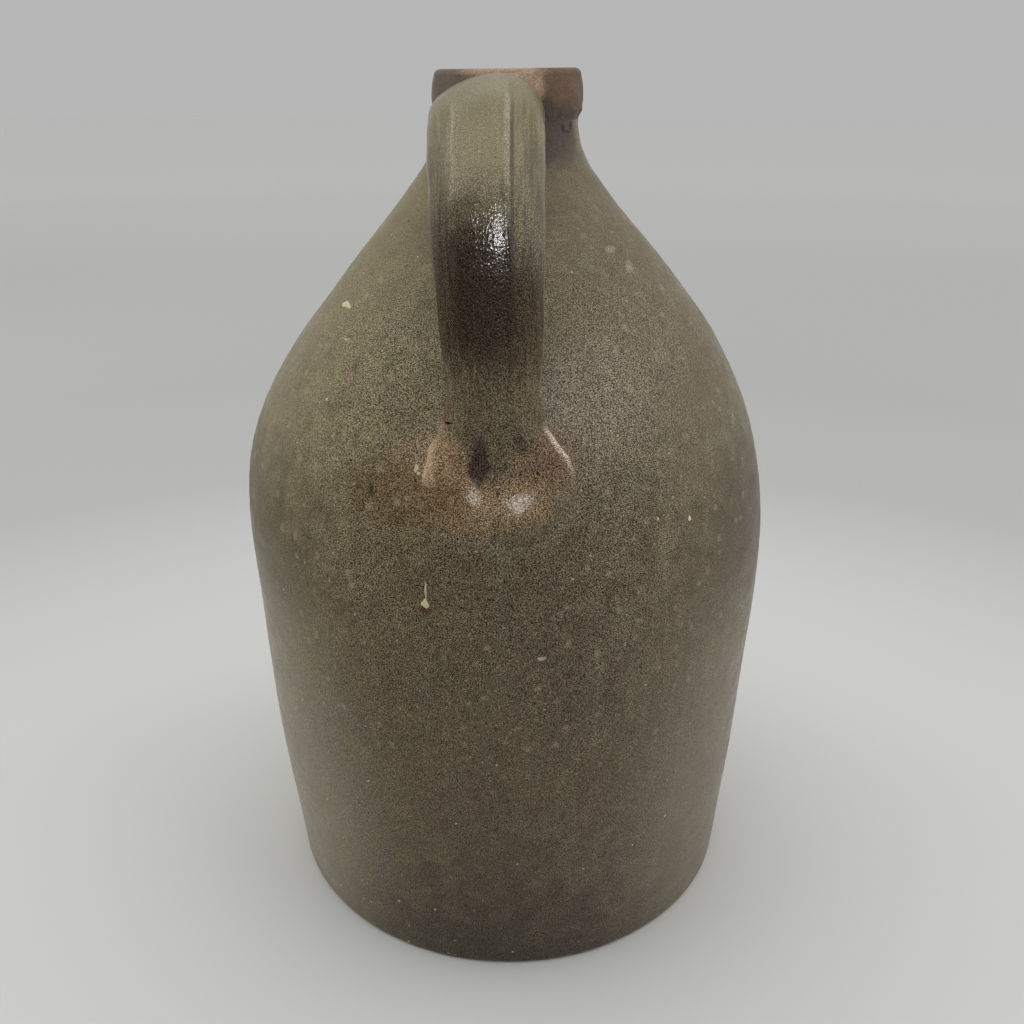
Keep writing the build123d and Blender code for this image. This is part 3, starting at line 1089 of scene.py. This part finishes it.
gritForm = {
    "density": 1500.0,
    "smallest": 0.22,
    "largest": 0.60,
    "flatness": 0.45,
    "stretch": (0.7, 1.5),
    "seed": 11,
    "stretchSeed": 5,
}
marksForm = {
    "rings": 7,
    "spokes": 28,
    "sink": 0.12,
    "bury": 0.7,
    "sharpAngle": 60,
    # place to the side and height, half width, half length, height, taper to the top, how yellow
    "marks": (
        (-66.9, 301.7, 5.0, 1.7, 0.50, 0.25, 0.35),
        (-30.2, 252.8, 0.95, 1.9, 0.45, 0.4, 0.45),
        (-29.2, 251.0, 0.95, 0.8, 0.35, 0.0, 0.35),
        (-26.5, 206.8, 0.55, 4.4, 0.40, 0.3, 0.30),
        (-26.8, 201.2, 1.55, 2.4, 0.60, 0.75, 0.70),
        (78.8, 225.7, 1.00, 1.2, 0.45, 0.0, 0.9),
        (64.8, 229.5, 0.55, 0.9, 0.35, 0.0, 0.7),
        (-70.7, 269.7, 0.9, 1.1, 0.25, 0.0, 0.3),
        (19.4, 177.6, 2.3, 1.2, 0.30, 0.0, 0.0),
        (-39.4, 181.8, 0.7, 0.7, 0.25, 0.0, 0.1),
        (53.3, 178.7, 0.6, 0.8, 0.25, 0.0, 0.1),
        (28.8, 319.0, 0.6, 0.9, 0.25, 0.0, 0.1),
        (56.6, 272.0, 0.9, 0.5, 0.25, 0.0, 0.1),
        (-8.2, 191.2, 0.6, 0.4, 0.20, 0.0, 0.0),
        (-13.1, 188.3, 0.5, 0.4, 0.20, 0.0, 0.0),
        (-6.7, 188.3, 0.5, 0.45, 0.20, 0.0, 0.0),
        (-14.7, 175.7, 0.5, 0.4, 0.20, 0.0, 0.0),
    ),
}
gritLook = {
    "cream": (0.60, 0.53, 0.38),
    "sand": (0.33, 0.27, 0.17),
    "yellow": (0.95, 0.82, 0.43),
    "grainSize": 2.5,
    "grainDepth": 0.2,
    "rough": 0.5,
}


def gritMaterial():
    look = gritLook
    material, spot = newGlaze("kilnGrit")
    grain = noiseOf(spot, look["grainSize"], 3.0, 0.6)
    colour = mixColour(remap(grain, 0.35, 0.65), look["sand"], look["cream"])
    colour = mixColour(attribute(spot.tree, "yellow"), colour, look["yellow"])
    return fired(material, spot, colour, grain, look["grainDepth"], look["rough"])


def gritTree():
    sizes = ("Density", "Smallest", "Largest", "Flatness")
    tree, given = newTree("scatterGrit", Geometry=["Jug"], Float=sizes, Int=["Seed"], Material=["Material"])

    def drawn(low, high, seed):
        inputs = {2: low, 3: high, "Seed": seed}
        return addNode(tree, "FunctionNodeRandomValue", inputs, 1, data_type="FLOAT")

    showing = addNode(tree, "GeometryNodeInputNamedAttribute", {"Name": "showing"}, data_type="FLOAT")
    inputs = {"Mesh": given["Jug"], "Density": showing * given["Density"], "Seed": given["Seed"]}
    spots, turns = addNode(tree, "GeometryNodeDistributePointsOnFaces", inputs, ("Points", "Rotation"))
    size = drawn(given["Smallest"], given["Largest"], given["Seed"])
    stretch = drawn(*gritForm["stretch"], gritForm["stretchSeed"])
    scale = combine(size * stretch, size, size * given["Flatness"])
    grain = addNode(tree, "GeometryNodeMeshIcoSphere", {"Radius": 1.0, "Subdivisions": 2})
    grain = addNode(tree, "GeometryNodeSetShadeSmooth", {"Geometry": grain})
    inputs = {"Points": spots, "Instance": grain, "Rotation": turns, "Scale": scale}
    return endTree(tree, addNode(tree, "GeometryNodeInstanceOnPoints", inputs), given["Material"])


def scatterGrit(name, body, seed):
    return runTree(addObject(name, body.data.copy()), gritScatter, {
        "Density": gritForm["density"],
        "Smallest": gritForm["smallest"] * mm,
        "Largest": gritForm["largest"] * mm,
        "Flatness": gritForm["flatness"],
        "Seed": seed,
        "Material": gritGlaze,
    })


def kilnMark(tree, side, height, halfWide, halfLong, rise, taper):
    # a low dome laid on the jug's skin, with its back under the skin
    before = Vector((side, -2 * jug["bodyRadius"], height)) * mm
    foot, normal = tree.ray_cast(before, Vector((0, 1, 0)))[:2]
    right = Vector((0, 0, 1)).cross(normal).normalized()
    up = normal.cross(right)
    dome = np.linspace(0, 1, marksForm["rings"] + 1)
    layers = [(q, rise * (1 - q * q) - marksForm["sink"]) for q in dome]
    layers += [(q, -marksForm["bury"]) for q in (1, 0.5, 0)]
    points = []
    for q, lift in layers:
        turns = np.linspace(0, math.tau, marksForm["spokes"], endpoint=False) if q else [0]
        for turn in turns:
            ragged = 1 + 0.13 * math.sin(3 * turn + side) + 0.08 * math.sin(5 * turn + 2 * side)
            v = q * ragged * math.sin(turn)
            u = q * ragged * math.cos(turn) * (1 - taper * v)
            place = tree.find_nearest(foot + (right * (u * halfWide) + up * (v * halfLong)) * mm)
            points.append(place[0] + place[1] * (lift * mm))
    return points, lumpFaces(len(layers) - 2, marksForm["spokes"])


def kilnMarks():
    graph = bpy.context.evaluated_depsgraph_get()
    halves = [BVHTree.FromObject(obj, graph) for obj in (lowerBody, shoulderCap)]
    points, faces, yellow = [], [], []
    for side, height, *sizes, tint in marksForm["marks"]:
        made, madeFaces = kilnMark(halves[height > seamHeight], side, height, *sizes)
        faces += [[len(points) + corner for corner in face] for face in madeFaces]
        points += made
        yellow += [tint] * len(made)
    obj = newObject("kilnMarks", points, faces)
    setField(obj, "yellow", yellow)
    return dress(obj, gritGlaze, marksForm["sharpAngle"])


gritGlaze = gritMaterial()
gritScatter = gritTree()
gritLow = scatterGrit("gritLow", lowerBody, gritForm["seed"])
gritHigh = scatterGrit("gritHigh", shoulderCap, gritForm["seed"] + 1)
marks = kilnMarks()
print("kiln marks:", len(gritLow.data.polygons), len(gritHigh.data.polygons), len(marks.data.polygons))


# floor, light and camera

studio = {
    "floorSize": 9.0,
    # paleness of the floor by distance from a spot before the jug, as shares of the reach: a painted pool
    # of light near the jug, a darker ring of painted shade further out for a shaded backdrop wall, paler
    # again far off
    "floorSpot": (0.0, -0.3, 0.0),
    "floorReach": 4.0,
    "floorLightAndShade": (
        (0.04, 0.700), (0.12, 0.655), (0.156, 0.585), (0.21, 0.470),
        (0.30, 0.473), (0.48, 0.560), (0.65, 0.636), (0.94, 0.709),
    ),
    "floorTint": (1.0, 1.0, 0.97),
    "skyLight": (0.98, 0.99, 1.0),
    "skyStrength": 0.68,
    "backdrop": (0.468, 0.472, 0.468),
    # lamps: name, place, aim, size, power, whether it makes a highlight alone
    "lamps": (
        ("overhead", (-0.1, 0.1, 1.5), (0, 0, 0.3), (2.0, 2.0), 8.5, False),
        ("leftSide", (-1.30, 0.0, 0.85), (0, 0, 0.2), (1.5, 1.5), 4.0, False),
        ("rightSide", (1.25, -0.20, 1.0), (0, 0, 0.2), (1.5, 1.5), 5.5, False),
        ("glint", (0.03, -0.85, 0.71), (0, -0.1, 0.33), (0.19, 0.16), 7.3, True),
    ),
    # a dark room behind the camera, out of its sight: middle, half sides, colour
    "darkRoom": ((0.0, -1.0, 0.64), (1.1, 0, 0), (0, 0, 0.59), (0.02, 0.02, 0.02)),
}


def stagePlane(name, centre, right, up, colour, hidden=False):
    centre, right, up = (np.array(v, float) for v in (centre, right, up))
    corners = [centre - right - up, centre + right - up, centre + right + up, centre - right + up]
    obj = newObject(name, [tuple(c) for c in corners], [(0, 1, 2, 3)])
    material = bpy.data.materials.new(name)
    material.use_nodes = True
    shader = material.node_tree.nodes["Principled BSDF"].inputs
    plug(colour, shader["Base Color"])
    plug(0.8, shader["Roughness"])
    plug(0.2, shader["Specular IOR Level"])
    obj.data.materials.append(material)
    obj.visible_camera = not hidden
    return material.node_tree, shader


def stageLamp(name, place, aim, size, power, sparkle):
    lamp = bpy.data.lights.new(name, "AREA")
    lamp.shape = "RECTANGLE"
    lamp.size, lamp.size_y = size
    lamp.energy = power
    obj = addObject(name, lamp)
    obj.location = place
    toward = Vector(aim) - Vector(place)
    obj.rotation_euler = toward.to_track_quat("-Z", "Y").to_euler()
    obj.visible_camera = False
    obj.visible_diffuse = not sparkle


def stageWorld():
    # soft light all round, and a plain backdrop where it is seen
    world = bpy.data.worlds.new("softStudio")
    world.use_nodes = True
    tree = world.node_tree
    light = tree.nodes["Background"]
    plug(studio["skyLight"], light.inputs["Color"])
    plug(studio["skyStrength"], light.inputs["Strength"])
    seen = addNode(tree, "ShaderNodeBackground", {"Color": studio["backdrop"], "Strength": 1.0})
    rays = ("Is Camera Ray", "Is Glossy Ray", "Is Transmission Ray")
    camera, glossy, through = addNode(tree, "ShaderNodeLightPath", out=rays)
    direct = calc("MAXIMUM", camera, calc("MAXIMUM", glossy, through))
    mix = addNode(tree, "ShaderNodeMixShader", {0: direct, 1: Wire(tree, light.outputs[0]), 2: seen})
    plug(mix, tree.nodes["World Output"].inputs["Surface"])
    bpy.context.scene.world = world


def stageFloor():
    size = studio["floorSize"]
    tree, shader = stagePlane("paleFloor", (0, 0, 0), (size, 0, 0), (0, size, 0), (0.6, 0.6, 0.6))
    place = addNode(tree, "ShaderNodeTexCoord", out="Object")
    away = vectorCalc("DISTANCE", place, studio["floorSpot"], out="Value")
    # painted pool of light and ring of painted shade on the floor
    ramp = addNode(tree, "ShaderNodeValToRGB", {0: away / studio["floorReach"]})
    stops = ramp.socket.node.color_ramp.elements
    while len(stops) < len(studio["floorLightAndShade"]):
        stops.new(0.5)
    for stop, (where, tone) in zip(stops, studio["floorLightAndShade"]):
        stop.position = where
        stop.color = (*(tone * tint for tint in studio["floorTint"]), 1)
    plug(ramp, shader["Base Color"])


stageFloor()
stagePlane("darkRoom", *studio["darkRoom"], hidden=True)
stageWorld()
for lamp in studio["lamps"]:
    stageLamp(*lamp)


viewpoint = {
    "height": 394.0,
    "distance": 468.0,
    "pitch": 23.93,  # degrees down
    "swing": 2.6,  # degrees round to the right of the handle
    "aside": 1.9,
    "focal": 1000.0,  # pixels, in a picture 1024 pixels wide
    "picture": 1024.0,
    "sensor": 36.0,
}


def stageCamera():
    see = viewpoint
    swing = math.radians(see["swing"])
    camera = bpy.data.cameras.new("photoView")
    camera.sensor_width = see["sensor"]
    camera.lens = see["sensor"] * see["focal"] / see["picture"]
    camera.clip_start = 0.01
    obj = addObject("photoView", camera)
    obj.location = (
        (see["distance"] * math.sin(swing) + see["aside"] * math.cos(swing)) * mm,
        (-see["distance"] * math.cos(swing) + see["aside"] * math.sin(swing)) * mm,
        see["height"] * mm,
    )
    obj.rotation_euler = (math.radians(90 - see["pitch"]), 0, swing)
    bpy.context.scene.camera = obj


stageCamera()
bpy.context.scene.view_settings.view_transform = "Standard"
print("stage set")


# every piece rides on the one rigid body and stands for its solid

for obj, node, slot in (
    (lowerBody, "lower_body", "body_glaze"),
    (shoulderCap, "shoulder", "body_glaze"),
    (lipRing, "lip_ring", "lip_glaze"),
    (strapHandle, "strap_handle", "handle_glaze"),
    (handleFootWad, "handle_foot_wad", "wad_glaze"),
    (slipLining, "slip_lining", "brown_slip"),
):
    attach(obj, "root")
    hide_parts(node)

for obj in (gritLow, gritHigh, marks):
    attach(obj, "root")
